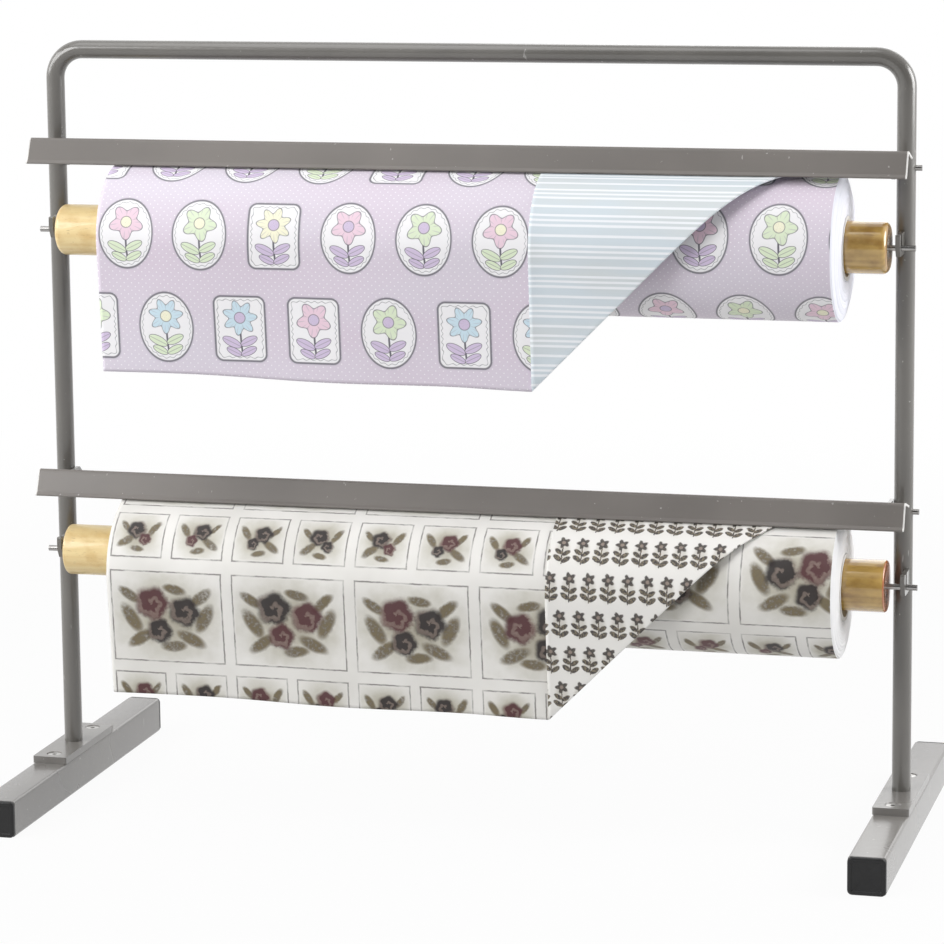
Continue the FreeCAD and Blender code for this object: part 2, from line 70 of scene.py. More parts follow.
def makeCamera():
    # focal length = focal / edge * sensor; the view turns by yaw, then pitch, then roll about its own axis
    lens = bpy.data.cameras.new("camera")
    lens.sensor_width = picture["sensor"]
    lens.lens = picture["focal"] / picture["edge"] * picture["sensor"]
    lens.shift_x = (picture["edge"] / 2 - picture["centreX"]) / picture["edge"]
    lens.shift_y = (picture["centreY"] - picture["edge"] / 2) / picture["edge"]
    lens.clip_start = picture["near"]
    lens.clip_end = picture["far"]
    camera = bpy.data.objects.new("camera", lens)
    scene.collection.objects.link(camera)
    yaw, pitch, roll = (math.radians(view[k]) for k in ("yaw", "pitch", "roll"))
    ahead = np.array([-math.sin(yaw) * math.cos(pitch), math.cos(yaw) * math.cos(pitch), -math.sin(pitch)])
    right = np.array([math.cos(yaw), math.sin(yaw), 0.0])
    up = np.cross(right, ahead)
    across = math.cos(roll) * right + math.sin(roll) * up
    upright = -math.sin(roll) * right + math.cos(roll) * up
    camera.matrix_world = axesMatrix(across, upright, -ahead, (view["x"], view["y"], view["z"]))
    scene.camera = camera


lamps = {  # place, aim, size and power of each soft box
    "key": ((-2.0, -2.2, 1.6), (0.0, 0.0, 0.25), 1.4, 51.0),
    "leftSide": ((-1.15, -0.3, 0.75), (-0.3, 0.0, 0.28), 0.5, 4.4),
    "rightSide": ((1.15, 0.1, 0.7), (0.3, 0.0, 0.25), 0.6, 10.0),
    "rear": ((0.3, 2.0, 1.6), (0.0, 0.0, 0.3), 1.8, 12.0),
    "overhead": ((-0.5, -0.45, 1.85), (-0.1, 0.0, 0.3), 1.2, 8.5),
}


def makeLamp(name, place, aim, size, power):
    # a square soft box whose axis runs from its place to its aim
    light = bpy.data.lights.new(name, "AREA")
    light.shape = "SQUARE"
    light.size = size
    light.energy = power
    lamp = bpy.data.objects.new(name, light)
    lamp.visible_camera = False
    scene.collection.objects.link(lamp)
    back = np.array(place) - np.array(aim)
    back /= np.linalg.norm(back)
    across = np.cross((0.0, 0.0, 1.0), back)
    across /= np.linalg.norm(across)
    lamp.matrix_world = axesMatrix(across, np.cross(back, across), back, place)


class Value:
    # an output socket of a graph; an operation on it adds the Math node that works it out
    def __init__(self, graph, socket):
        self.graph = graph
        self.socket = socket

    def maths(self, operation, *others):
        return self.graph.maths(operation, self, *others)

    def __rsub__(self, other):
        return self.graph.maths("SUBTRACT", other, self)

    def wrapped(self, period):
        return self.maths("WRAP", period / 2, -period / 2)

    def ramp(self, low, high):
        # 0 below low, 1 above high, smooth between
        settings = {"interpolation_type": "SMOOTHSTEP"}
        return self.graph.add("ShaderNodeMapRange", settings, {0: self, 1: low, 2: high})

    def under(self, low, high):
        # 1 below low, 0 above high, smooth between
        return 1.0 - self.ramp(low, high)


operations = {  # v.angle(u) is the angle at which the point (u, v) lies about the origin
    "__add__": "ADD", "__radd__": "ADD", "__sub__": "SUBTRACT", "__mul__": "MULTIPLY",
    "__rmul__": "MULTIPLY", "__truediv__": "DIVIDE", "__pow__": "POWER", "size": "ABSOLUTE",
    "floor": "FLOOR", "sine": "SINE", "cosine": "COSINE", "root": "SQRT", "above": "GREATER_THAN",
    "most": "MAXIMUM", "angle": "ARCTAN2",
}
for method, operation in operations.items():
    setattr(Value, method, functools.partialmethod(Value.maths, operation))


class Graph:
    # a node tree, with one method that adds any node
    def __init__(self, tree):
        self.tree = tree

    def plug(self, node, key, value):
        socket = node.inputs[key]
        if isinstance(value, Value):
            self.tree.links.new(value.socket, socket)
        elif isinstance(value, (tuple, list)) and len(value) == 3 and socket.type == "RGBA":
            socket.default_value = (*value, 1.0)
        else:
            socket.default_value = value

    def add(self, kind, settings, sockets, output=0):
        node = self.tree.nodes.new(kind)
        for key, value in settings.items():
            setattr(node, key, value)
        for key, value in sockets.items():
            self.plug(node, key, value)
        return Value(self, node.outputs[output])

    def maths(self, operation, *terms):
        return self.add("ShaderNodeMath", {"operation": operation}, dict(enumerate(terms)))

    def split(self, vector):
        parts = self.add("ShaderNodeSeparateXYZ", {}, {0: vector})
        return [Value(self, parts.socket.node.outputs[i]) for i in range(3)]

    def place(self):
        return self.add("ShaderNodeTexCoord", {}, {}, "Object")

    def vector(self, x, y=0.0, z=0.0):
        return self.add("ShaderNodeCombineXYZ", {}, {0: x, 1: y, 2: z})

    def noise(self, vector, scale, detail=2.0):
        return self.add("ShaderNodeTexNoise", {}, {"Vector": vector, "Scale": scale, "Detail": detail})

    def streaks(self, parts, scales, detail=2.0):
        # noise over a place whose parts are each stretched by a scale of their own
        return self.noise(self.vector(*(part * scale for part, scale in zip(parts, scales))), 1.0, detail)

    def chance(self, *parts):
        return self.add("ShaderNodeTexWhiteNoise", {}, {"Vector": self.vector(*parts)})

    def mix(self, share, first, second):
        return self.add("ShaderNodeMix", {"data_type": "RGBA"}, {0: share, 6: first, 7: second}, 2)

    def layers(self, tone, *layers):
        # a tone with layers, each a share and a colour, laid on it in turn
        for share, colour in layers:
            tone = self.mix(share, tone, colour)
        return tone

    def ray(self, kind):
        return self.add("ShaderNodeLightPath", {}, {}, "Is " + kind + " Ray")


class Finish(Graph):
    # one material and its Principled shader
    def __init__(self, name, **constants):
        self.material = bpy.data.materials.new(name)
        self.material.use_nodes = True
        super().__init__(self.material.node_tree)
        self.shader = self.tree.nodes["Principled BSDF"]
        for socket, value in constants.items():
            self.shader.inputs[socket.replace("_", " ")].default_value = value

    def set(self, socket, value):
        self.plug(self.shader, socket, value)

    def relief(self, height, distance):
        bump = self.add("ShaderNodeBump", {}, {"Height": height, "Distance": distance, "Strength": 1.0})
        self.set("Normal", bump)


studio = {
    "floorColour": (0.55, 0.55, 0.55), "floorLift": 0.95, "floorHalf": 9.0, "whiteFrom": 0.7,
    "whitePast": 1.6, "worldLevel": 0.37, "dim": 0.12, "dimPast": -0.25, "whiteBehind": 0.3,
    "overheadFrom": 0.55, "overheadFull": 0.95, "overhead": 0.75,
}


def makeWorld():
    # white where it is seen directly; in reflections white behind the stand, bright overhead, dim in front
    world = bpy.data.worlds.new("studio")
    scene.world = world
    world.use_nodes = True
    graph = Graph(world.node_tree)
    backdrop = world.node_tree.nodes["Background"]
    _, away, high = graph.split(graph.add("ShaderNodeTexCoord", {}, {}, "Generated"))
    overhead = high.ramp(studio["overheadFrom"], studio["overheadFull"]) * studio["overhead"]
    bright = away.ramp(studio["dimPast"], studio["whiteBehind"]).most(overhead)
    mirrored = graph.ray("Glossy") * (bright * (1.0 - studio["dim"]) + studio["dim"])
    seen = graph.ray("Camera").most(graph.ray("Transmission"))
    lit = (1.0 - seen.most(graph.ray("Glossy"))) * studio["worldLevel"]
    graph.plug(backdrop, 0, (1.0, 1.0, 1.0))
    graph.plug(backdrop, 1, seen.most(mirrored) + lit)


def makeFloor():
    # pale paint that takes the shadow; where it is seen directly it glows, and fully so past a radius
    finish = Finish("floorPaint", Roughness=0.9, Base_Color=(*studio["floorColour"], 1.0))
    x, y, _ = finish.split(finish.place())
    far = radiusOf(x, y).ramp(studio["whiteFrom"], studio["whitePast"])
    seen = finish.ray("Camera").most(finish.ray("Glossy")).most(finish.ray("Transmission"))
    share = seen * (studio["floorLift"] + far * (1.0 - studio["floorLift"]))
    glow = finish.add("ShaderNodeEmission", {}, {})
    painted = Value(finish, finish.shader.outputs[0])
    both = finish.add("ShaderNodeMixShader", {}, {0: share, 1: painted, 2: glow})
    finish.plug(finish.tree.nodes["Material Output"], 0, both)
    corners = np.array([(-1.0, -1.0, 0.0), (1.0, -1.0, 0.0), (1.0, 1.0, 0.0), (-1.0, 1.0, 0.0)])
    floor = addMesh("floor", corners * studio["floorHalf"], [[0, 1, 2, 3]], [finish.material])


paint = {  # the colour, roughness and coat of each paint, then what they share
    "bar": ((0.13, 0.123, 0.112), 0.36, 0.9), "foot": ((0.183, 0.174, 0.164), 0.26, 0.45),
    "cutter": ((0.166, 0.151, 0.138), 0.5, 0.2), "bare": (0.7, 0.69, 0.67), "darker": 0.9,
    "lighter": 1.09, "drift": 9.0, "speck": 340.0, "scratch": (260.0, 260.0, 34.0),
    "peel": 2600.0, "swell": 160.0, "peelDepth": 0.00003,
}


def shaded(colour, share):
    return tuple(c * share for c in colour)


def paintFinish(name, kind, cutEnds=None):
    # baked enamel: orange peel in the bump, a slow drift of tone, a few scratches, bare metal on a cut end
    colour, roughness, coat = paint[kind]
    finish = Finish(name, Coat_Weight=coat, Coat_Roughness=0.16)
    place = finish.place()
    x, y, z = finish.split(place)
    drift = finish.noise(place, paint["drift"], 3.0)
    specks = finish.noise(place, paint["speck"]).ramp(0.72, 0.78)
    scratch = finish.streaks((x, y, z), paint["scratch"]).ramp(0.74, 0.77)
    dark, light = shaded(colour, paint["darker"]), shaded(colour, paint["lighter"])
    worn = (specks * 0.35).most(scratch * 0.3)
    tone = finish.layers(dark, (drift.ramp(0.35, 0.65), light), (worn, paint["bare"]))
    if cutEnds is not None:
        middle, half = cutEnds
        tone = finish.mix((x - middle).size().above(half), tone, paint["bare"])
    finish.set("Base Color", tone)
    finish.set("Roughness", roughness + (drift - 0.5) * 0.25)
    peel = finish.noise(place, paint["peel"], 1.0)
    finish.relief(peel + finish.noise(place, paint["swell"]) * 3.0, paint["peelDepth"])
    return finish.material


plastic = {
    "dark": (0.012, 0.012, 0.013), "light": (0.022, 0.022, 0.022), "mottle": 60.0, "matt": 400.0,
    "texture": 2200.0, "textureDepth": 0.00003,
}


def plasticFinish():
    # black moulded plastic: two near blacks mottled together, and a fine texture in the bump
    finish = Finish("capPlastic", Specular_IOR_Level=0.35)
    place = finish.place()
    mottle = finish.noise(place, plastic["mottle"])
    finish.set("Base Color", finish.mix(mottle, plastic["dark"], plastic["light"]))
    finish.set("Roughness", finish.noise(place, plastic["matt"]).ramp(0.2, 0.8) * 0.12 + 0.36)
    finish.relief(finish.noise(place, plastic["texture"], 1.0), plastic["textureDepth"])
    return finish.material


steel = {  # colour and roughness, then what they share
    "pin": ((0.4, 0.39, 0.38), 0.2), "screw": ((0.72, 0.71, 0.69), 0.3),
    "lines": (9000.0, 300.0, 300.0), "darker": 0.75, "lineDepth": 0.00001,
}


def steelFinish(kind):
    # drawn wire and turned screws: fine lines round the axis
    colour, roughness = steel[kind]
    finish = Finish(kind + "Steel", Metallic=1.0)
    lines = finish.streaks(finish.split(finish.place()), steel["lines"])
    finish.set("Base Color", finish.mix(lines, shaded(colour, steel["darker"]), colour))
    finish.set("Roughness", roughness + (lines - 0.5) * 0.2)
    finish.relief(lines, steel["lineDepth"])
    return finish.material


pine = {
    # the amber colours at the right end hold painted shade as well as the varnish's own colour
    "pale": (0.86, 0.69, 0.36), "grain": (0.66, 0.43, 0.16), "amberAndShade": (0.62, 0.405, 0.115),
    "amberDeepAndShade": (0.27, 0.135, 0.03), "speck": (0.33, 0.19, 0.08),
    "end": {"upper": (0.34, 0.19, 0.06), "lower": (0.42, 0.1, 0.03)}, "endDepth": 0.0009,
    "ringPitch": 0.0042, "pithY": 0.012, "pithZ": -0.021, "swayBy": 0.009, "amberAndShadeFrom": 0.14,
    "sway": (9.0, 45.0, 45.0), "fibres": (40.0, 900.0, 900.0), "mottle": (70.0, 110.0, 110.0),
    "pores": (260.0, 1700.0, 1700.0), "poreDepth": -1.5, "fibreDepth": 0.00004,
}


def pineFinish(level, centre, length):
    # year rings = sine of the distance from a pith outside the dowel, swayed by noise; with them go fibres,
    # mottling and short dark pores, and a varnish that deepens to the right; the right is also darker as
    # painted shade
    finish = Finish(level + "Pine", Coat_Roughness=0.03)
    parts = x, y, z = finish.split(finish.place())
    across = (y - (centre.y + pine["pithY"])) ** 2.0 + (z - (centre.z + pine["pithZ"])) ** 2.0
    sway = finish.streaks(parts, pine["sway"])
    rings = ((across.root() + sway * pine["swayBy"]) / pine["ringPitch"] * math.tau).sine() * 0.5 + 0.5
    fibres = finish.streaks(parts, pine["fibres"], 3.0)
    mottle = finish.streaks(parts, pine["mottle"], 3.0)
    pores = finish.streaks(parts, pine["pores"], 1.0).ramp(0.66, 0.74)
    grain = rings * 0.22 + fibres * 0.24 + mottle.ramp(0.42, 0.7) * 0.45
    # share of amber varnish and painted shade: the colour darkens to the right partly because the light
    # falls off there
    amberAndShade = (x - centre.x).ramp(-pine["amberAndShadeFrom"], pine["amberAndShadeFrom"])
    light = finish.mix(amberAndShade, pine["pale"], pine["amberAndShade"])
    dark = finish.mix(amberAndShade, pine["grain"], pine["amberDeepAndShade"])
    endGrain = (x - centre.x).size().above(length / 2 - pine["endDepth"])
    finish.set("Base Color", finish.layers(
        light, (grain, dark), (pores * (0.4 - amberAndShade * 0.2), pine["speck"]),
        (endGrain * amberAndShade * 0.8, pine["end"][level])))
    finish.set("Roughness", 0.3 + fibres * 0.14 - amberAndShade * 0.2)
    finish.set("Coat Weight", 0.3 + amberAndShade * 0.7)
    finish.relief(fibres + pores * pine["poreDepth"], pine["fibreDepth"])
    return finish.material


board = {
    "dark": (0.6, 0.59, 0.57), "light": (0.74, 0.73, 0.71), "seam": (0.42, 0.41, 0.39),
    "fibre": 900.0, "fibreDepth": 0.00008, "seamPitch": 0.06, "seamSlant": 0.4,
}


def cardFinish():
    # fibres, and the spiral seam where a sine of x + slant (y - z) is near 1
    finish = Finish("card", Roughness=0.85)
    place = finish.place()
    x, y, z = finish.split(place)
    fibre = finish.noise(place, board["fibre"], 3.0)
    seam = ((x + (y - z) * board["seamSlant"]) / board["seamPitch"] * math.tau).sine().ramp(0.96, 1.0)
    tone = finish.mix(fibre, board["dark"], board["light"])
    finish.set("Base Color", finish.mix(seam * 0.5, tone, board["seam"]))
    finish.relief(fibre, board["fibreDepth"])
    return finish.material


rollEnds = {
    "upper": (0.84, 0.85, 0.93), "lower": (0.86, 0.86, 0.87), "darker": 0.8, "fine": (4200.0,),
    "broad": (420.0, 6.0, 6.0), "ringDepth": 0.00025,
}


def rollEndFinish(level):
    # the cut edges of the wound paper: noise over the distance from the axis gives close rings
    finish = Finish(level + "RollEnd", Roughness=0.8)
    axisY, axisZ, _ = rollAxis(level)
    _, y, z = finish.split(finish.place())
    radius = ((y - axisY) ** 2.0 + (z - axisZ) ** 2.0).root()
    fine = finish.streaks((radius,), rollEnds["fine"])
    broad = finish.streaks((radius, y, z), rollEnds["broad"])
    dark = shaded(rollEnds[level], rollEnds["darker"])
    finish.set("Base Color", finish.mix(fine * 0.35 + broad * 0.45, rollEnds[level], dark))
    finish.relief(fine + broad * 2.0, rollEnds["ringDepth"])
    return finish.material


paperEdge = {"dark": (0.78, 0.78, 0.79), "light": (0.9, 0.9, 0.91), "fibre": 1500.0}


def edgeFinish():
    # the cut edge of the paper: short fibres
    finish = Finish("paperEdge", Roughness=0.8)
    fibre = finish.noise(finish.place(), paperEdge["fibre"])
    finish.set("Base Color", finish.mix(fibre, paperEdge["dark"], paperEdge["light"]))
    return finish.material


tooth = {"scale": 500.0, "depth": 0.00002}


def printedPaper(name, roughness, specular):
    # paper with a slight relief, and the place on the flat sheet: u along the roll and v down it, in metres
    finish = Finish(name, Roughness=roughness, Specular_IOR_Level=specular)
    finish.relief(finish.noise(finish.place(), tooth["scale"]), tooth["depth"])
    u, v, _ = finish.split(finish.add("ShaderNodeUVMap", {"uv_map": "flat"}, {}))
    return finish, u, v


def ellipse(u, v, place, radii, turn, soft):
    # 1 inside an ellipse at a place, turned by an angle, with a soft rim
    c, s = math.cos(turn), math.sin(turn)
    du, dv = u - place[0], v - place[1]
    along = (du * c + dv * s) / radii[0]
    across = (dv * c - du * s) / radii[1]
    return (along * along + across * across).under(1.0 - soft, 1.0 + soft)


def leaf(d, u, v, side, drop, reach, soft, rind=0.0):
    # 1 inside an ellipse that stands out to one side of a stem and turns up from it
    radii = (reach + rind, reach * d["leafWide"] + rind)
    return ellipse(u, v, (side * reach * d["leafOut"], drop), radii, -side * d["leafTurn"], soft)


def line(distance, width):
    # 1 where the size of a distance is under half the width
    return distance.size().under(width * 0.3, width * 0.7)


def radiusOf(u, v):
    return (u * u + v * v).root()


def cells(u, v, pitchU, pitchV, stagger):
    # a grid of cells with every other row moved along; gives local places and the cell's number
    row = (v / pitchV).floor()
    odd = (row * 0.5 - (row * 0.5).floor()) * 2.0
    moved = u + odd * (pitchU * stagger)
    column = (moved / pitchU).floor()
    return moved - (column + 0.5) * pitchU, v - (row + 0.5) * pitchV, column, row


blossom = {
    "ground": (0.697, 0.612, 0.71), "ground2": (0.715, 0.665, 0.75), "dot": (0.95, 0.93, 0.97),
    "line": (0.13, 0.125, 0.15), "grey": (0.4, 0.38, 0.44), "white": (0.9, 0.89, 0.91),
    "pinks": (0.84, 0.64, 0.74), "greens": (0.74, 0.83, 0.63), "blues": (0.62, 0.77, 0.86),
    "yellows": (0.92, 0.9, 0.7), "violets": (0.66, 0.56, 0.74),
    "tints": ((0.3, "greens"), (0.52, "blues"), (0.76, "yellows")),  # from this luck on, this tint
    "wash": (6.0, 14.0), "dotPitch": 0.0052, "dotSize": 0.00042, "margin": 0.2594,
    "pitchU": 0.052, "pitchV": 0.064, "moveU": 0.0105, "moveV": 0.004, "crisp": (-0.0002, 0.0002),
    "ovalShape": 0.62, "ovalHigh": 0.0238, "square": (0.0125, 0.017), "squareCorner": 0.0052,
    "squaresFrom": 0.62, "shadow": 0.0022, "rimLine": 0.0013,
    "scallops": 26.0, "scallopInset": 0.0024, "scallopDepth": 0.0005, "scallopLine": 0.0005,
    "stemLine": 0.0013, "stemSway": 3.0, "stemTop": -0.002, "stemFoot": (0.0166, 0.0172),
    "leaves": (  # side, drop and reach
        (-1.0, 0.0095, 0.0068), (1.0, 0.0085, 0.0062), (-1.0, 0.016, 0.0054), (1.0, 0.0155, 0.0058),
    ),
    "leafOut": 0.92, "leafWide": 0.42, "leafTurn": 0.45, "leafRind": 0.0004, "leafVein": 0.0005,
    "flowerRise": 0.0075, "petal": 0.01, "petalWave": 0.0022, "petalLine": 0.00075,
    "petalVeins": (0.005, 0.008), "petalGaps": (0.0035, 0.006), "heart": 0.0038, "heartLine": 0.0006,
    "seeds": (2200.0, 2200.0),
}


def blossomFinish():
    # pastel flowers on leafy stems in oval and square frames, set like bricks on dotted lavender; a frame
    # is the distance from its rim, and a flower's radius waves with a cosine, once for each petal
    d = blossom
    finish, u, v = printedPaper("blossomPaper", 0.5, 0.35)
    dotU, dotV, _, _ = cells(u, v, d["dotPitch"], d["dotPitch"] / 2, 0.5)
    dots = radiusOf(dotU, dotV).under(d["dotSize"] * 0.7, d["dotSize"] * 1.3)
    wash = finish.streaks((u, v), d["wash"]).ramp(0.3, 0.7)
    cu, cv, column, row = cells(u + d["moveU"], v + d["moveV"], d["pitchU"], d["pitchV"], 0.5)
    luck = finish.chance(column + 0.5, row + 0.5, 0.5)
    luck2 = finish.chance(column + 7.5, row + 3.5, 2.5)

    oval = (cu * cu / d["ovalShape"] + cv * cv).root() - d["ovalHigh"]
    pastU, pastV = ((part.size() - half).most(0.0) ** 2.0 for part, half in zip((cu, cv), d["square"]))
    kind = luck.above(d["squaresFrom"])
    rim = oval * (1.0 - kind) + ((pastU + pastV).root() - d["squareCorner"]) * kind
    scallop = rim + d["scallopInset"] + (cv.angle(cu) * d["scallops"]).sine() * d["scallopDepth"]
    frameLine = line(rim, d["rimLine"]).most(line(scallop, d["scallopLine"]) * 0.7)
    stem = line(cu - cv * cv * d["stemSway"], d["stemLine"])
    stem = stem * cv.ramp(d["stemTop"], 0.0) * cv.under(*d["stemFoot"])
    tone = finish.layers(
        d["ground"], (wash, d["ground2"]), (dots * 0.8, d["dot"]),
        (rim.under(0.0, d["shadow"]) * 0.55, d["grey"]), (rim.under(*d["crisp"]), d["white"]),
        (frameLine * 0.85, d["line"]), (stem, d["line"]))

    leafTone = finish.mix(luck.above(0.3), d["greens"], d["violets"])
    for side, drop, reach in d["leaves"]:
        body = leaf(d, cu, cv, side, drop, reach, 0.05)
        rind = leaf(d, cu, cv, side, drop, reach, 0.05, d["leafRind"])
        vein = line(cv - drop + cu * (0.48 * side) - reach * 0.44, d["leafVein"])
        tone = finish.layers(tone, (rind, d["line"]), (body, leafTone), (body * vein * 0.5, d["line"]))

    tint = finish.layers(d["pinks"], *((luck2.above(least), d[colour]) for least, colour in d["tints"]))
    top = cv + d["flowerRise"]
    radius = radiusOf(cu, top)
    angle = top.angle(cu) + (luck2 - 0.5) * 0.9
    petals = 5.0 + luck2.above(0.55) * 2.0
    petalRim = radius - (d["petal"] + (angle * petals).cosine() * d["petalWave"])
    fill = petalRim.under(*d["crisp"])
    veins = (angle * petals * 3.0).sine().ramp(0.75, 0.95) * radius.ramp(*d["petalVeins"]) * 0.4
    between = line((angle * petals * 0.5).cosine(), 0.12) * radius.ramp(*d["petalGaps"])
    heartRim = radius - d["heart"]
    heart = heartRim.under(*d["crisp"])
    heartTone = finish.mix(luck.above(0.4), d["yellows"], d["violets"])
    seeds = finish.streaks((u, v), d["seeds"], 1.0).ramp(0.6, 0.7)
    tone = finish.layers(
        tone, (fill, tint), (fill * veins, d["grey"]), (fill * between * 0.55, d["line"]),
        (line(petalRim, d["petalLine"]) * 0.75, d["line"]), (heart, heartTone),
        (line(heartRim, d["heartLine"]) * 0.7, d["line"]), (heart * seeds * 0.45, d["line"]))
    finish.set("Base Color", finish.mix(u.above(d["margin"]), tone, d["white"]))
    return finish.material


stripe = {  # each band as its place and width
    "period": 0.02, "bands": ((0.0024, 0.0048), (0.009, 0.0048), (0.0141, 0.0018), (0.0175, 0.0018)),
    "blue": (0.6, 0.68, 0.735), "grey": (0.63, 0.675, 0.69), "white": (0.875, 0.9, 0.935),
    "waver": (90.0, 12.0), "waverBy": 0.0007, "drift": (35.0, 9.0, 3.0), "bandRim": (-0.00035, 0.00045),
}


def stripeFinish():
    # pale bands across the paper, two broad and then two narrow, with white between
    finish, u, v = printedPaper("stripedBack", 0.55, 0.3)
    along = u + (finish.streaks((u, v), stripe["waver"]) - 0.5) * stripe["waverBy"]
    local = along - (along / stripe["period"]).floor() * stripe["period"]
    ink = 0.0
    for place, width in stripe["bands"]:
        ink = ((local - place).size() - width / 2).under(*stripe["bandRim"]).most(ink)
    drift = finish.streaks((u, v, 1.0), stripe["drift"])
    tone = finish.mix(drift.ramp(0.4, 0.62), stripe["blue"], stripe["grey"])
    finish.set("Base Color", finish.mix(ink * (0.75 + drift * 0.25), stripe["white"], tone))
    return finish.material


sepia = {
    "ground": (0.83, 0.815, 0.785), "aged": (0.75, 0.735, 0.7), "line": (0.1, 0.085, 0.08),
    "haze": (0.5, 0.48, 0.4), "glow": (0.3, 0.26, 0.19), "dark": (0.018, 0.012, 0.014),
    "brown": (0.07, 0.052, 0.04), "olive": (0.185, 0.15, 0.09), "rose": (0.08, 0.02, 0.026),
    "petal": (0.36, 0.28, 0.235), "pitchU": 0.087, "pitchV": 0.116, "moveU": -0.0205, "moveV": 0.012,
    "wide": (0.0395, 0.032), "small": (0.018, 0.0168), "wideRow": -0.02, "smallRow": 0.0375,
    "shake": (260.0, 260.0), "shakeBy": 0.0007, "wash": (20.0, 20.0), "smoke": (75.0, 75.0),
    "smokeBy": 0.0025, "grain": (420.0, 420.0), "grainBy": 0.0012, "frameLine": 0.001, "frameSoft": 0.002,
}
posies = {  # heads as (place, size); leaves as (place, length, turn)
    "wide": (
        (((-0.0125, -0.0045), 0.0118), ((0.0105, -0.0095), 0.013), ((0.006, 0.01), 0.0098)),
        (((-0.0265, 0.0), 0.011, 1.1), ((-0.0165, 0.015), 0.0105, -0.45),
         ((0.0255, 0.002), 0.0115, -1.0), ((0.02, 0.016), 0.01, 0.6),
         ((-0.0245, -0.015), 0.009, 0.7), ((0.0265, -0.015), 0.0085, -0.6),
         ((-0.004, 0.0205), 0.009, 0.1), ((-0.006, -0.02), 0.008, -0.2)),
    ),
    "small": (
        (((-0.002, -0.003), 0.0072), ((0.0048, 0.004), 0.0048)),
        (((-0.0085, 0.006), 0.0064, -0.6), ((0.0105, -0.004), 0.006, -1.0),
         ((-0.0105, -0.0055), 0.005, 0.9), ((0.0, 0.011), 0.005, 0.2)),
    ),
}


def posy(finish, u, v, kind, tone, luck, grain, smoke):
    # the tone with a posy laid on it: leaves that fade out, and over them heads whose petals are a sine of
    # the radius plus the angle, a spiral
    heads, leaves = posies[kind]
    body = grain * 0.75 + smoke * 0.6
    leafTone = finish.mix(body.ramp(0.45, 0.8), sepia["brown"], sepia["olive"])
    mask = 0.0
    for place, length, turn in leaves:
        mask = ellipse(u, v, place, (length, length * 0.42), turn, 0.6).most(mask)
    tone = finish.mix(mask * body.ramp(0.2, 0.75), tone, leafTone)
    for i, (place, size) in enumerate(heads):
        du, dv = u - place[0], v - place[1]
        angle = dv.angle(du)
        radius = radiusOf(du, dv) + (angle * 5.0 + luck * 6.0).sine() * (size * 0.06)
        radius = radius + (grain - 0.5) * (size * 0.25)
        petal = (radius * (7.5 / size) + angle + smoke * 4.0).sine().ramp(0.1, 1.0)
        colour = finish.mix((luck * 3.0 + i * 0.37).wrapped(1.0).above(0.05), sepia["dark"], sepia["rose"])
        lit = finish.mix(petal * (0.15 + grain * 0.5), colour, sepia["petal"])
        tone = finish.mix(radius.under(size * 0.7, size * 1.1) * 0.95, tone, lit)
    return tone


def sepiaFinish():
    # faded posies in sketched frames: a row of wide frames, then a row of small ones, two to each wide one
    d = sepia
    finish, u, v = printedPaper("vignettePaper", 0.5, 0.35)
    shake = finish.streaks((u, v), d["shake"]) - 0.5
    cu, cv, column, row = cells(u + d["moveU"], v + d["moveV"], d["pitchU"], d["pitchV"], 0.0)
    wash = finish.streaks((u, v), d["wash"], 3.0)
    tone = finish.mix(wash.ramp(0.35, 0.7), d["ground"], d["aged"])
    smoke = finish.streaks((u, v), d["smoke"], 4.0)
    grain = finish.streaks((u, v), d["grain"], 3.0)
    blur = (smoke - 0.5) * d["smokeBy"] + (grain - 0.5) * d["grainBy"]
    smallPitch = d["pitchU"] / 2
    smallStep = (cu / smallPitch).floor()
    smallU = cu - (smallStep + 0.5) * smallPitch
    ink = 0.0
    for kind, lu, lv, number in (("wide", cu, cv - d["wideRow"], column),
                                 ("small", smallU, cv - d["smallRow"], column * 2.0 + smallStep)):
        halfU, halfV = d[kind]
        luck = finish.chance(number + 0.5, row + 0.5, halfU * 10.0)
        edge = (lu.size() - halfU).most(lv.size() - halfV) + shake * d["shakeBy"]
        inside = edge.under(-d["frameSoft"], 0.0)
        ink = (line(edge, d["frameLine"]) * (0.35 + 0.65 * smoke.ramp(0.35, 0.6))).most(ink)
        away = ((lu / (halfU * 0.95)) ** 2.0 + (lv / (halfV * 0.95)) ** 2.0).root() + (smoke - 0.5) * 0.9
        tone = finish.layers(tone, (away.under(0.3, 1.4) * inside * 0.9, d["haze"]),
                             (away.under(0.05, 0.75) * inside * 0.5, d["glow"]))
        facing = luck.above(0.5) * 2.0 - 1.0
        tone = posy(finish, (lu + blur) * facing, lv + blur, kind, tone, luck, grain, smoke)
    finish.set("Base Color", finish.mix(ink * 0.75, tone, d["line"]))
    return finish.material


sprig = {
    "pitchU": 0.0132, "pitchV": 0.025, "grain": (700.0, 700.0), "grainBy": 0.0016,
    "stemLine": 0.0008, "stemMiddle": 0.0025, "stemHalf": (0.0065, 0.007),
    "leaves": (  # side, drop and reach
        (-1.0, 0.0015, 0.0031), (1.0, 0.0005, 0.0031), (-1.0, 0.0062, 0.0034), (1.0, 0.0052, 0.0034),
    ),
    "leafOut": 0.85, "leafWide": 0.5, "leafTurn": 0.6, "headRise": 0.0062, "head": (0.003, 0.0042),
    "headWave": 0.0009, "core": (0.0008, 0.0017), "glowU": 0.006, "glowV": 0.0105,
}


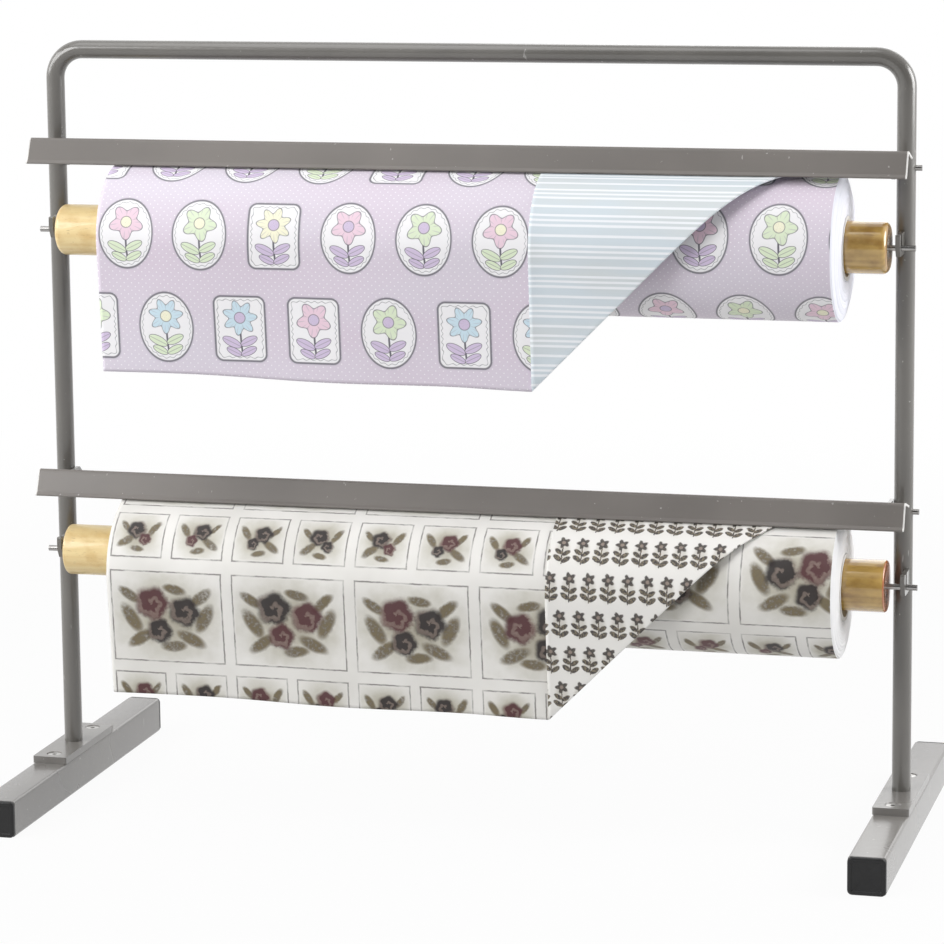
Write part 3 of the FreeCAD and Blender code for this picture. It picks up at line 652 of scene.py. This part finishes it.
def sprigBackFinish():
    # rows of small dark sprigs, every other row moved along by half; a head's radius waves five times
    d = sprig
    finish, u, v = printedPaper("sprigBack", 0.55, 0.3)
    # the flap is turned by 90 degrees, so its rows run along v
    cu, cv, _, _ = cells(v, u * -1.0, d["pitchU"], d["pitchV"], 0.5)
    grain = finish.streaks((u, v), d["grain"], 3.0)
    cu = cu + (grain - 0.5) * d["grainBy"]
    mask = line(cu, d["stemLine"]) * (cv - d["stemMiddle"]).size().under(*d["stemHalf"])
    for side, drop, reach in d["leaves"]:
        mask = mask.most(leaf(d, cu, cv, side, drop, reach, 0.3))
    top = cv + d["headRise"]
    radius = radiusOf(cu, top)
    head = (radius - (top.angle(cu) * 5.0).cosine() * d["headWave"]).under(*d["head"])
    dark = finish.layers(sepia["dark"], (grain.ramp(0.4, 0.65), sepia["olive"]), (head * 0.7, sepia["dark"]),
                         (radius.under(*d["core"]) * 0.7, sepia["petal"]))
    glow = ((cu / d["glowU"]) ** 2.0 + (cv / d["glowV"]) ** 2.0).root().under(0.4, 1.05)
    tone = finish.mix(glow * 0.35, sepia["ground"], sepia["glow"])
    finish.set("Base Color", finish.mix(mask.most(head) * 0.92, tone, dark))
    return finish.material


def addMesh(name, points, faces, materials, faceMaterials=None, flat=None, smooth=35.0):
    # an object from a grid of points, with the flat place of each point as its print map
    mesh = bpy.data.meshes.new(name)
    mesh.from_pydata(np.asarray(points).reshape(-1, 3).tolist(), [], faces)
    for material in materials:
        mesh.materials.append(material)
    if faceMaterials is not None:
        mesh.polygons.foreach_set("material_index", np.asarray(faceMaterials, dtype=np.int32))
    if flat is not None:
        layer = mesh.uv_layers.new(name="flat")
        corners = np.zeros(len(mesh.loops), dtype=np.int32)
        mesh.loops.foreach_get("vertex_index", corners)
        layer.data.foreach_set("uv", np.asarray(flat).reshape(-1, 2)[corners].astype(np.float32).ravel())
    mesh.polygons.foreach_set("use_smooth", np.ones(len(mesh.polygons), dtype=bool))
    mesh.set_sharp_from_angle(angle=math.radians(smooth))
    mesh.update()
    piece = bpy.data.objects.new(name, mesh)
    scene.collection.objects.link(piece)
    return piece


def addWeld(piece):
    # joins points that coincide, at a seam or where rows meet
    weld = piece.modifiers.new("weld", "WELD")
    weld.merge_threshold = 0.000002


def gridFaces(rows, columns, closed=False):
    # quads between neighbouring rows of points; closed joins each row's last point to its first
    i, j = np.meshgrid(np.arange(rows - 1), np.arange(columns if closed else columns - 1), indexing="ij")
    k = (j + 1) % columns
    quads = np.stack([i * columns + j, i * columns + k, (i + 1) * columns + k, (i + 1) * columns + j], -1)
    return quads.reshape(-1, 4).tolist()


def turnedOver(faces):
    return [face[::-1] for face in faces]


def tubeFaces(rows, count):
    # the quads of a closed tube with one face over each end
    ends = [list(range(count))[::-1], list(range((rows - 1) * count, rows * count))]
    return gridFaces(rows, count, True) + ends


def roundedPath(corners, radius, steps):
    # a polyline in a plane with each inner corner replaced by an arc of one radius
    corners = np.array(corners, float)
    path = [corners[0]]
    for before, corner, after in zip(corners[:-2], corners[1:-1], corners[2:]):
        first, second = before - corner, after - corner
        first /= np.linalg.norm(first)
        second /= np.linalg.norm(second)
        half = math.acos(np.clip(first @ second, -1.0, 1.0)) / 2
        centre = corner + (first + second) / np.linalg.norm(first + second) * radius / math.sin(half)
        start = corner + first * radius / math.tan(half) - centre
        end = corner + second * radius / math.tan(half) - centre
        turn = math.pi - 2 * half
        for share in np.linspace(0.0, 1.0, steps):
            arm = start * math.sin((1 - share) * turn) + end * math.sin(share * turn)
            path.append(centre + arm / math.sin(turn))
    return np.array(path + [corners[-1]])


def normals2d(path):
    # unit normals of a path in a plane, 90 degrees to the left of its direction
    step = np.gradient(path, axis=0)
    step /= np.linalg.norm(step, axis=1)[:, None]
    return np.stack([-step[:, 1], step[:, 0]], -1)


def arcPoints(centre, radius, start, end, steps):
    # centre + radius (cos a, sin a), with a in degrees from start to end
    a = np.radians(np.linspace(start, end, steps))
    return np.stack([centre[0] + radius * np.cos(a), centre[1] + radius * np.sin(a)], -1)


def turnedPoints(profile, a, axisY, axisZ):
    # a profile of (x, radius) turned about an axis along X: (x, y + r cos a, z + r sin a)
    r = profile[:, None, 1]
    x = np.broadcast_to(profile[:, None, 0], (len(profile), len(a)))
    return np.stack([x, axisY + r * np.cos(a), axisZ + r * np.sin(a)], -1)


def roundedSquare(half, corner, steps):
    # outline of a square with round corners, anticlockwise seen from the front
    points = [arcPoints((sx * (half - corner), sz * (half - corner)), corner, start, start + 90.0, steps)
              for sx, sz, start in ((1, 1, 0.0), (-1, 1, 90.0), (-1, -1, 180.0), (1, -1, 270.0))]
    return np.concatenate(points)


stand = {
    "rod": 0.00635, "bend": 0.02, "bendSteps": 14, "around": 40,
    "footCorner": 0.0022, "cornerSteps": 6, "footCut": 0.00035,
}


def standRod(material):
    # a circle carried up the left post, across the top and down the right post in the XZ plane:
    # centre + r (cos a normal + sin a Y)
    low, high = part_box("frame_bar")
    r = stand["rod"]
    left, right, top = low.x + r, high.x - r, high.z - r
    corners = [(left, low.z), (left, top), (right, top), (right, low.z)]
    path = roundedPath(corners, stand["bend"], stand["bendSteps"])
    a = np.linspace(0.0, math.tau, stand["around"], endpoint=False)
    offset = normals2d(path)[:, None, :] * (np.cos(a) * r)[None, :, None]
    x = path[:, None, 0] + offset[..., 0]
    z = path[:, None, 1] + offset[..., 1]
    y = np.broadcast_to(np.sin(a) * r, x.shape)
    rod = addMesh("standRod", np.stack([x, y, z], -1), turnedOver(tubeFaces(*x.shape)), [material])
    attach(rod, "frame")
    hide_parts("frame_bar")


def footTube(side, material):
    # a rounded square carried along Y, a little smaller at both cut ends
    node = side + "_foot_tube"
    low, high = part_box(node)
    half = (high.x - low.x) / 2
    outline = roundedSquare(half, stand["footCorner"], stand["cornerSteps"])
    cut = stand["footCut"]
    along = np.array([low.y, low.y + cut, high.y - cut, high.y])
    share = np.array([half - cut, half, half, half - cut])[:, None] / half
    x = (low.x + high.x) / 2 + outline[:, 0] * share
    z = (low.z + high.z) / 2 + outline[:, 1] * share
    y = np.broadcast_to(along[:, None], x.shape)
    faces = turnedOver(tubeFaces(*x.shape))
    foot = addMesh(side + "FootTube", np.stack([x, y, z], -1), faces, [material])
    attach(foot, "frame")
    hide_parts(node)


cap = {
    "flange": 0.003, "corner": 0.0032, "leastCorner": 0.0006, "rim": 0.0013, "rimSteps": 6,
    "border": 0.0026, "step": 0.0004, "dish": 0.0006, "dishShare": 0.9,
}


def endCap(side, end, material):
    # rings of rounded squares by depth and inset: a rim that rounds over, a border and a lower dished face
    node = side + "_" + end + "_end_cap"
    low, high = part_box(node)
    out = -1.0 if end == "front" else 1.0
    face = low.y if out < 0 else high.y
    half = (high.x - low.x) / 2
    a = np.radians(np.linspace(0.0, 90.0, cap["rimSteps"]))
    depth = np.concatenate([[cap["flange"]], cap["rim"] * (1 - np.sin(a)), [0.0, cap["step"], cap["dish"]]])
    inner = [cap["border"], cap["border"] + cap["step"], half * cap["dishShare"]]
    shrink = np.concatenate([[0.0], cap["rim"] * (1 - np.cos(a)), inner])
    rings = []
    for inset in shrink:
        corner = max(cap["corner"] - inset, cap["leastCorner"])
        rings.append(roundedSquare(half - inset, corner, stand["cornerSteps"]))
    rings = np.array(rings)
    x = (low.x + high.x) / 2 + rings[..., 0]
    z = (low.z + high.z) / 2 + rings[..., 1]
    y = np.broadcast_to((face - out * depth)[:, None], x.shape)
    faces = tubeFaces(*x.shape)
    if out > 0:
        faces = turnedOver(faces)
    piece = addMesh(side + end.capitalize() + "Cap", np.stack([x, y, z], -1), faces, [material])
    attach(piece, "frame")
    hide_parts(node)


cutter = {  # slopes in degrees
    "reach": 0.0434, "lip": 0.0023, "lipRise": 36.0, "face": 0.0161, "faceLean": 28.0, "flange": 0.0175,
    "flangeDrop": 22.0, "sheet": 0.0015, "bend": 0.0026, "bendSteps": 9, "noseSteps": 7,
    "burr": 0.0002, "burrSteps": 2, "burrAngle": 60.0, "bareEnd": 0.0009,
}


def cutterBar(level, material):
    # a section of folded sheet carried along X, turned down until its lip rests on the paper
    c = cutter
    node = level + "_cutter_bar"
    low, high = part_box(node)
    pivot = next(j["pos_m"] for j in frame["joints"] if j["name"] == level + "_cutter_swing")
    half = c["sheet"] / 2
    lip = np.array([-c["reach"], 0.0])
    rise, lean, drop = (math.radians(c[k]) for k in ("lipRise", "faceLean", "flangeDrop"))
    knee = lip + c["lip"] * np.array([math.cos(rise), math.sin(rise)])
    ridge = knee + c["face"] * np.array([math.sin(lean), math.cos(lean)])
    rear = ridge + c["flange"] * np.array([math.cos(drop), -math.sin(drop)])
    path = roundedPath([lip, knee, ridge, rear], c["bend"] - half, c["bendSteps"])
    side = normals2d(path)
    tip = arcPoints((0.0, 0.0), half, 0.0, 180.0, c["noseSteps"])[1:-1]
    ahead = path[0] - path[1]
    ahead /= np.linalg.norm(ahead)
    nose = path[0] + tip[:, :1] * -side[0] + tip[:, 1:] * ahead
    outline = np.concatenate([path + side * half, (path - side * half)[::-1], nose])
    tilt = math.atan2(pivot[2] - (low.z + half), -(low.y + half))
    turn = np.array([[math.cos(tilt), -math.sin(tilt)], [math.sin(tilt), math.cos(tilt)]])
    outline = outline @ turn.T + np.array([pivot[1], pivot[2]])
    shape = (2, len(outline))
    x = np.broadcast_to([[low.x], [high.x]], shape)
    y = np.broadcast_to(outline[:, 0], shape)
    z = np.broadcast_to(outline[:, 1], shape)
    bar = addMesh(level + "CutterBar", np.stack([x, y, z], -1), turnedOver(tubeFaces(*shape)), [material])
    edge = bar.modifiers.new("edge", "BEVEL")
    edge.width = c["burr"]
    edge.segments = c["burrSteps"]
    edge.limit_method = "ANGLE"
    edge.angle_limit = math.radians(c["burrAngle"])
    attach(bar, level + "_cutter")
    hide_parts(node)


roller = {
    "round": {"upper": 0.0042, "lower": 0.0014}, "roundSteps": 9, "bore": 0.00215, "boreDepth": 0.004,
    "dish": 0.0005, "around": 96, "along": 24,
}


def woodenRoller(level, material):
    # turned profile: bore, slightly dished end, round-over, and the long straight
    node = level + "_dowel"
    low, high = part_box(node)
    radius = (high.z - low.z) / 2
    bend, bore, dish, steps = roller["round"][level], roller["bore"], roller["dish"], roller["roundSteps"]
    end = ((roller["boreDepth"], bore), (dish, bore), (dish * 0.6, radius * 0.5))
    rightEnd = [(high.x - inset, r) for inset, r in end]
    leftEnd = [(low.x + inset, r) for inset, r in end[::-1]]
    rightRound = arcPoints((high.x - bend, radius - bend), bend, 0.0, 90.0, steps)
    leftRound = arcPoints((low.x + bend, radius - bend), bend, 90.0, 180.0, steps)
    straight = np.linspace(rightRound[-1, 0], leftRound[0, 0], roller["along"])[1:-1]
    middle = np.stack([straight, np.full(len(straight), radius)], -1)
    profile = np.concatenate([rightEnd, rightRound, middle, leftRound, leftEnd])
    a = np.linspace(0.0, math.tau, roller["around"], endpoint=False)
    points = turnedPoints(profile, a, (low.y + high.y) / 2, (low.z + high.z) / 2)
    faces = turnedOver(gridFaces(len(profile), len(a), True))
    dowel = addMesh(level + "WoodenRoller", points, faces, [material])
    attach(dowel, level + "_roller")
    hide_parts(node)


rolls = {  # angles in degrees
    "upper": {"liftAngle": 0.0, "liftReach": 0.01, "hangAngle": 95.5, "hangLength": 0.089,
              "cornerLeg": 0.2005, "printShift": 0.012, "telescope": 0.0035, "skew": 0.0045},
    "lower": {"liftAngle": 30.0, "liftReach": 0.009, "hangAngle": 96.5, "hangLength": 0.08,
              "cornerLeg": 0.1915, "printShift": 0.031, "telescope": 0.0022, "skew": 0.0025},
}
winding = {
    "around": 128, "along": 120, "rings": 28, "ringInset": 0.0004, "coreGap": 0.00002, "settling": 5.0,
    "ripples": ((0.00022, 61.0, 0.0), (0.00018, 23.0, 1.0)),  # height, rate and phase
    "flatShare": 0.02,
}


def rollAxis(level):
    low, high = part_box(level + "_wound_paper")
    return (low.y + high.y) / 2, (low.z + high.z) / 2, (high.z - low.z) / 2


def woundPaper(level, printed, ends):
    # turned closed profile: rings that step out towards the core, the outside, and the bore
    d = winding
    node = level + "_wound_paper"
    low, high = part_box(node)
    core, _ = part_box(level + "_paper_core")
    y, z, radius = rollAxis(level)
    out = rolls[level]["telescope"]
    share = np.linspace(0.0, 1.0, d["rings"])
    ripple = sum(height * np.sin(share * rate + phase) for height, rate, phase in d["ripples"])
    rise = out * (1.0 - np.exp(-share * d["settling"])) / (1.0 - math.exp(-d["settling"]))
    outermost, innermost = radius - d["ringInset"], y - core.y + d["coreGap"]
    ringRadius = outermost + (innermost - outermost) * share
    endX = np.minimum(-out + rise + ripple * (share > d["flatShare"]), 0.0)
    rightEnd = np.stack([high.x + endX, ringRadius], -1)[::-1]
    leftEnd = np.stack([low.x - endX, ringRadius], -1)
    side = np.stack([np.linspace(high.x - out, low.x + out, d["along"]), np.full(d["along"], radius)], -1)
    profile = np.concatenate([rightEnd, side, leftEnd, rightEnd[:1]])
    # the print's seam is where the loose sheet leaves the roll
    hem = paperLine(level, radius)[-1]
    seam = math.pi / 2 + (hem - rolls[level]["cornerLeg"]) / radius
    a = np.linspace(seam - math.tau, seam, d["around"] + 1)
    points = turnedPoints(profile, a, y, z)
    forward = a - math.pi / 2  # angle forward of the top
    down = np.broadcast_to(forward * radius + rolls[level]["printShift"], points.shape[:2])
    flat = np.stack([points[..., 0], down], -1)
    faces = turnedOver(gridFaces(*points.shape[:2]))
    rows = np.arange(len(profile) - 1)
    onSide = (rows >= len(rightEnd)) & (rows < len(rightEnd) + len(side) - 1)
    which = np.repeat(np.where(onSide, 0, 1), d["around"])
    roll = addMesh(level + "WoundPaper", points, faces, [printed, ends], which, flat)
    addWeld(roll)
    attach(roll, level + "_roll")
    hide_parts(node)


paper = {
    "gap": 0.0003, "cadThickness": 0.0005, "thickness": 0.00022, "foldRadius": 0.00062, "foldSteps": 11,
    "flapLift": 0.0008, "settle": 0.012, "step": 0.0025, "density": 0.8, "smooth": 80.0,
    "behindTop": 0.06, "pastHem": 0.001, "lineSteps": 6000,
    "waver": (0.0007, 31.0, 1.0), "waverFrom": 6.0,  # height, rate and phase
    "freeFrom": 0.012, "freeOver": 0.05, "curlReach": 0.006, "curlHeight": 0.0012,
}


def paperLine(level, radius):
    # the section of the loose end: its slope angle over the distance from the roll's top, summed
    r = rolls[level]
    y, z, _ = rollAxis(level)
    lift, hang = math.radians(r["liftAngle"]), math.radians(r["hangAngle"])
    leave = lift * radius
    land = leave + r["liftReach"]
    turn = land + (hang - lift) * radius
    hem = turn + r["hangLength"]
    start, end = -paper["behindTop"], hem + paper["pastHem"]
    s = np.linspace(start, end, paper["lineSteps"])
    slope = np.interp(s, [start, leave, land, turn, end], [start / radius, lift, lift, hang, hang])
    step = s[1] - s[0]
    dy = -np.cos(slope)
    dz = -np.sin(slope)
    first = (y - radius * math.sin(start / radius), z + radius * math.cos(start / radius))
    py = first[0] + np.concatenate([[0.0], np.cumsum((dy[1:] + dy[:-1]) / 2 * step)])
    pz = first[1] + np.concatenate([[0.0], np.cumsum((dz[1:] + dz[:-1]) / 2 * step)])
    return s, py, pz, slope, hem


def lipDistance(level, radius):
    # how far down the paper the cutter's lip lies, counted from the roll's top
    s, py, pz, _, _ = paperLine(level, radius)
    low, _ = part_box(level + "_cutter_bar")
    half = cutter["sheet"] / 2
    away = np.hypot(py - (low.y + half), pz - (low.z + half))
    return s[np.argmin(away)]


def looseSheet(level, printed, back, edge):
    # (x, s) on the flat paper; past the fold line x + s = c it curls over and lies back on itself
    node = level + "_paper_sheet"
    low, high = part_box(node)
    _, _, rollRadius = rollAxis(level)
    radius = rollRadius + paper["gap"] + paper["cadThickness"] / 2
    s, py, pz, slope, hem = paperLine(level, radius)
    lip = lipDistance(level, radius)
    leg = rolls[level]["cornerLeg"]
    foldFrom = high.x - leg
    c = foldFrom + hem
    start = c - high.x
    root = math.sqrt(2.0)
    r = paper["foldRadius"]
    curlEnd = (math.pi - 1.0) * r
    # rows down the paper, and across each one the part left of the fold, the curl and the folded part
    rows = np.linspace(start, hem, int((hem - start) / paper["step"]) + 1)[:, None]
    crease = c - rows
    curl = np.linspace(-r, curlEnd, paper["foldSteps"])[None, :] * root
    before = crease - r * root - low.x
    after = np.maximum(high.x - crease - curlEnd * root, 0.0)
    leftCount = int((high.x - low.x) / paper["step"] * paper["density"])
    rightCount = int(leg / paper["step"] * paper["density"])
    leftPart = low.x + before * np.linspace(0.0, 1.0, leftCount)[None, :-1]
    rightPart = crease + curlEnd * root + after * np.linspace(0.0, 1.0, rightCount)[None, 1:]
    x = np.minimum(np.concatenate([leftPart, crease + curl, rightPart], 1), high.x)
    # left of the fold the cut wavers, and rises a little towards the left end
    share = np.clip((foldFrom - x) / (foldFrom - low.x), 0.0, 1.0)
    height, rate, phase = paper["waver"]
    waver = height * np.sin(x * rate + phase) * np.minimum(share * paper["waverFrom"], 1.0)
    d = rows - (rolls[level]["skew"] * share + waver) * (rows - start) / (hem - start)
    # w runs across the fold line and t along it; w turns round the crease and comes back
    w = (x + d - c) / root
    t = (x - d) / root
    phi = np.clip((w + r) / r, 0.0, math.pi)
    past = np.maximum(w + r - math.pi * r, 0.0)
    newW = np.where(w < -r, w, -r + r * np.sin(phi) - past)
    rest = paper["flapLift"]
    settled = rest + (2 * r - rest) * np.exp(-past / paper["settle"])
    lift = np.where(past > 0.0, settled, r * (1.0 - np.cos(phi)))
    newX = (root * t + root * newW + c) / 2
    newS = (c + root * newW - root * t) / 2
    # below the cutter's lip the paper is free: the corner's edge curls and the sheet waves
    free = np.clip((newS - lip - paper["freeFrom"]) / paper["freeOver"], 0.0, 1.0)
    free = free * free * (3.0 - 2.0 * free)
    edgeCurl = np.exp(-np.abs(newX - foldFrom) / paper["curlReach"]) * (past > 0.0) * paper["curlHeight"]
    wave = 0.0006 * np.sin(newX * 21.0 + 1.3) + 0.0004 * np.sin(newX * 47.0 + newS * 30.0)
    lift = lift + (edgeCurl + wave) * free
    angle = np.interp(newS, s, slope)
    posY = np.interp(newS, s, py) - np.sin(angle) * lift
    posZ = np.interp(newS, s, pz) + np.cos(angle) * lift
    points = np.stack([newX, posY, posZ], -1)
    flat = np.stack([x, d + rolls[level]["printShift"]], -1)
    faces = turnedOver(gridFaces(*x.shape))
    sheet = addMesh(level + "PaperSheet", points, faces, [printed, back, edge], None, flat, paper["smooth"])
    addWeld(sheet)
    body = sheet.modifiers.new("thickness", "SOLIDIFY")
    body.thickness = paper["thickness"]
    body.offset = 0.0
    body.material_offset = 1
    body.material_offset_rim = 2
    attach(sheet, level + "_paper")
    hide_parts(node)
    hem - start
    print(level, "sheet", round(high.x - low.x, 4), "by", round(hem - start, 4), "m, lip at", round(lip, 4))


makeCamera()
for name, settings in lamps.items():
    makeLamp(name, *settings)
makeWorld()
makeFloor()
print("studio ready")

barPaint = paintFinish("barPaint", "bar")
footPaint = paintFinish("footPaint", "foot")
capPlastic = plasticFinish()
pinSteel = steelFinish("pin")
screwSteel = steelFinish("screw")
card = cardFinish()
prints = {"upper": (blossomFinish(), stripeFinish()), "lower": (sepiaFinish(), sprigBackFinish())}
edgePaper = edgeFinish()
print("finishes ready")

standRod(barPaint)
for side in sides:
    footTube(side, footPaint)
    for end in ("front", "rear"):
        endCap(side, end, capPlastic)
for level in levels:
    lowBar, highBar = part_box(level + "_cutter_bar")
    cutEnds = ((lowBar.x + highBar.x) / 2, (highBar.x - lowBar.x) / 2 - cutter["bareEnd"])
    cutterBar(level, paintFinish(level + "CutterPaint", "cutter", cutEnds))
    lowWood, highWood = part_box(level + "_dowel")
    woodenRoller(level, pineFinish(level, (lowWood + highWood) / 2, highWood.x - lowWood.x))
    front, back = prints[level]
    woundPaper(level, front, rollEndFinish(level))
    looseSheet(level, front, back, edgePaper)
print("pieces ready")

dressing = (
    ("base_plate", footPaint), (("hook_plate", "cutter_arm"), barPaint), ("paper_core", card),
    (("axle_pin", "pivot_screw"), pinSteel), (("foot_screws", "rivet_nuts"), screwSteel),
)
for endings, material in dressing:
    for name, node in frame["nodes"].items():
        if name.endswith(endings):
            node.data.materials.clear()
            node.data.materials.append(material)
print("frame parts dressed")
